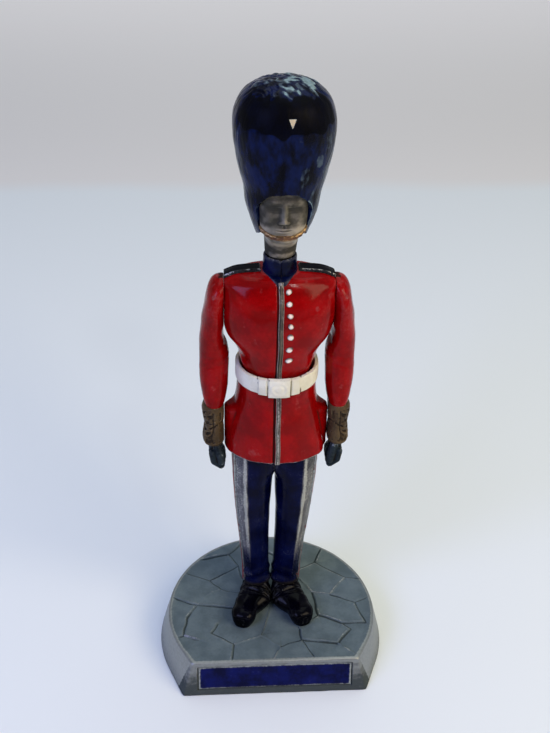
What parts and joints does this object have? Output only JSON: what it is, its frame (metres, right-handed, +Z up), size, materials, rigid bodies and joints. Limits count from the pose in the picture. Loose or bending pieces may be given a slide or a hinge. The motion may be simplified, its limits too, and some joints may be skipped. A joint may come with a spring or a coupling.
{
  "type": "toy soldier figure",
  "caption": "Painted cast toy soldier in a tall fur cap and belted red tunic, standing at attention on a paved base, with a turning head and swinging arms.",
  "frame": {"origin": "middle of the base's underside, at the centre of the part's box", "axes": "+Z up, the figure faces -Y, and its left side is at +X"},
  "size_m": [0.0436, 0.0368, 0.1105],
  "materials": {
    "base_metal": "satin grey-green paint over cast white metal, worn bare at the edges",
    "panel_enamel": "gloss navy enamel",
    "boot_black": "gloss black enamel",
    "trouser_navy": "gloss navy enamel, worn grey along the outer seams",
    "stripe_red": "gloss red enamel",
    "tunic_red": "gloss red enamel with small chips",
    "worn_metal": "rubbed bare metal",
    "belt_white": "satin cream-white enamel with dark chips",
    "button_white": "cream-white enamel dabs",
    "collar_navy": "gloss navy enamel with rubbed edges",
    "strap_navy": "gloss navy-black enamel with rubbed edges",
    "cuff_gold": "dull bronze-gold enamel",
    "glove_black": "black enamel rubbed grey on the knuckles",
    "pin_steel": "plain drawn wire",
    "face_paint": "thin flesh paint rubbed to dirty metal",
    "fur_black": "gloss blue-black enamel over combed fur, rubbed at the crown",
    "strap_gold": "dull gold enamel"
  },
  "bodies": {
    "figure": {"base": "base_metal", "front_panel": "panel_enamel", "right_boot": "boot_black", "left_boot": "boot_black", "right_trouser_leg": "trouser_navy", "left_trouser_leg": "trouser_navy", "right_trouser_stripe": "stripe_red", "left_trouser_stripe": "stripe_red", "tunic_skirt": "tunic_red", "skirt_edging": "worn_metal", "belt": "belt_white", "belt_clasp": "belt_white", "belt_keepers": "belt_white", "tunic_body": "tunic_red", "tunic_edging": "worn_metal", "tunic_buttons": "button_white", "collar": "collar_navy", "right_shoulder_strap": "strap_navy", "left_shoulder_strap": "strap_navy"},
    "right_arm": {"right_sleeve": "tunic_red", "right_cuff": "cuff_gold", "right_hand": "glove_black", "right_shoulder_pin": "pin_steel"},
    "left_arm": {"left_sleeve": "tunic_red", "left_cuff": "cuff_gold", "left_hand": "glove_black", "left_shoulder_pin": "pin_steel"},
    "head": {"head": "face_paint", "fur_cap": "fur_black", "chin_strap": "strap_gold"}
  },
  "joints": [
    {"name": "head_turn", "type": "hinge", "parent": "figure", "child": "head", "pos_m": [0, 0.0013, 0.0794], "axis": [0, 0, 1], "range_deg": [-90, 90]},
    {"name": "right_arm_swing", "type": "hinge", "parent": "figure", "child": "right_arm", "pos_m": [-0.0092, 0.0013, 0.0744], "axis": [-1, 0, 0], "range_deg": [-60, 180]},
    {"name": "left_arm_swing", "type": "hinge", "parent": "figure", "child": "left_arm", "pos_m": [0.0092, 0.0013, 0.0744], "axis": [-1, 0, 0], "range_deg": [-60, 180]}
  ]
}
